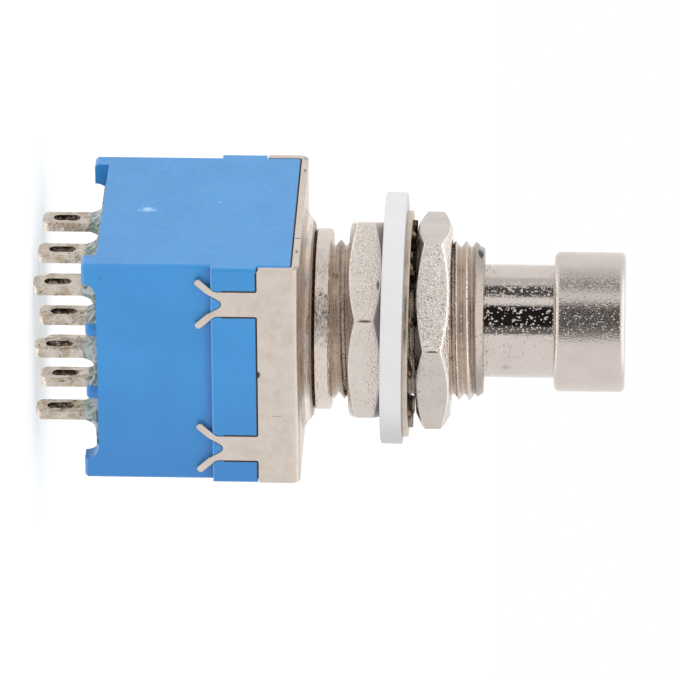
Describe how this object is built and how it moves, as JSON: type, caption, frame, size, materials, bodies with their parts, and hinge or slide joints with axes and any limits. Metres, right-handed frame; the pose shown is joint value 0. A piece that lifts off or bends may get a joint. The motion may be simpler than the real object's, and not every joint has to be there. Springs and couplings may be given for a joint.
{
  "type": "footswitch",
  "caption": "Latching foot switch for a panel: a push button in a threaded bushing with nuts and washers, over a moulded body with a folded metal cover and solder lugs.",
  "frame": {"origin": "on the bushing's axis, in the plane of the cover plate's outer face", "axes": "+Z along the bushing towards the button, X along each pole's lugs (common lug in the middle), Y across the poles; the cover's legs grip the case's +Y and -Y faces"},
  "size_m": [0.0188, 0.019, 0.0437],
  "materials": {
    "blue_moulding": "satin moulded surface",
    "plated_steel_sheet": "rolled sheet, nickel plated",
    "nickel_plated_brass": "nickel plated, satin",
    "polished_nickel": "nickel plated, polished",
    "white_nylon": "satin moulded surface",
    "spring_steel": "plated spring steel",
    "tinned_brass": "tinned, dull",
    "epoxy_resin": "cast resin, slightly clear",
    "black_moulding": "plain",
    "contact_copper": "bright, silver faced"
  },
  "bodies": {
    "switch_body": {"cover_bracket": "plated_steel_sheet", "case": "blue_moulding", "bushing": "nickel_plated_brass", "lower_nut": "nickel_plated_brass", "upper_nut": "nickel_plated_brass", "nylon_washer": "white_nylon", "lock_washer": "spring_steel", "sealing_resin": "epoxy_resin", "spring_seat": "black_moulding", "rocker_axle": "spring_steel", "front_common_lug": "tinned_brass", "front_left_lug": "tinned_brass", "front_right_lug": "tinned_brass", "middle_common_lug": "tinned_brass", "middle_left_lug": "tinned_brass", "middle_right_lug": "tinned_brass", "back_common_lug": "tinned_brass", "back_left_lug": "tinned_brass", "back_right_lug": "tinned_brass"},
    "button": {"plunger": "polished_nickel", "retaining_ring": "spring_steel", "pusher_pin": "spring_steel", "return_spring": "spring_steel"},
    "pusher": {"pusher": "white_nylon"},
    "rocker": {"rocker": "white_nylon", "front_contact_spring": "spring_steel", "middle_contact_spring": "spring_steel", "back_contact_spring": "spring_steel"},
    "front_contact_pin": {"front_contact_pin": "white_nylon"},
    "front_seesaw": {"front_seesaw": "contact_copper"},
    "middle_contact_pin": {"middle_contact_pin": "white_nylon"},
    "middle_seesaw": {"middle_seesaw": "contact_copper"},
    "back_contact_pin": {"back_contact_pin": "white_nylon"},
    "back_seesaw": {"back_seesaw": "contact_copper"}
  },
  "joints": [
    {"name": "button_press", "type": "slide", "parent": "switch_body", "child": "button", "axis": [0, 0, -1], "range_m": [0, 0.004], "stiffness_N_per_m": 2500, "springref_m": -0.004, "deforming": ["return_spring"]},
    {"name": "rocker_tilt", "type": "hinge", "parent": "switch_body", "child": "rocker", "pos_m": [0, 0, -0.00585], "axis": [0, -1, 0], "range_deg": [0, 36]},
    {"name": "pusher_swing", "type": "hinge", "parent": "button", "child": "pusher", "pos_m": [0, 0, 0.0075], "axis": [0, 1, 0], "range_deg": [0, 36.11]},
    {"name": "front_seesaw_tilt", "type": "hinge", "parent": "switch_body", "child": "front_seesaw", "pos_m": [0, -0.0052, -0.0106], "axis": [0, 1, 0], "range_deg": [0, 14.01]},
    {"name": "middle_seesaw_tilt", "type": "hinge", "parent": "switch_body", "child": "middle_seesaw", "pos_m": [0, 0, -0.0106], "axis": [0, 1, 0], "range_deg": [0, 14.01]},
    {"name": "back_seesaw_tilt", "type": "hinge", "parent": "switch_body", "child": "back_seesaw", "pos_m": [0, 0.0052, -0.0106], "axis": [0, 1, 0], "range_deg": [0, 14.01]},
    {"name": "front_pin_slide", "type": "slide", "parent": "rocker", "child": "front_contact_pin", "axis": [0.309, 0, 0.9511], "range_m": [0, 0.0004], "stiffness_N_per_m": 400, "springref_m": -0.0006, "deforming": ["front_contact_spring"]},
    {"name": "middle_pin_slide", "type": "slide", "parent": "rocker", "child": "middle_contact_pin", "axis": [0.309, 0, 0.9511], "range_m": [0, 0.0004], "stiffness_N_per_m": 400, "springref_m": -0.0006, "deforming": ["middle_contact_spring"]},
    {"name": "back_pin_slide", "type": "slide", "parent": "rocker", "child": "back_contact_pin", "axis": [0.309, 0, 0.9511], "range_m": [0, 0.0004], "stiffness_N_per_m": 400, "springref_m": -0.0006, "deforming": ["back_contact_spring"]}
  ],
  "couplings": [
    {"joint": "pusher_swing", "follows": "rocker_tilt", "ratio": 1.0027},
    {"joint": "front_seesaw_tilt", "follows": "rocker_tilt", "ratio": 0.38889},
    {"joint": "middle_seesaw_tilt", "follows": "rocker_tilt", "ratio": 0.38889},
    {"joint": "back_seesaw_tilt", "follows": "rocker_tilt", "ratio": 0.38889},
    {"joint": "middle_pin_slide", "follows": "front_pin_slide", "ratio": 1},
    {"joint": "back_pin_slide", "follows": "front_pin_slide", "ratio": 1}
  ]
}
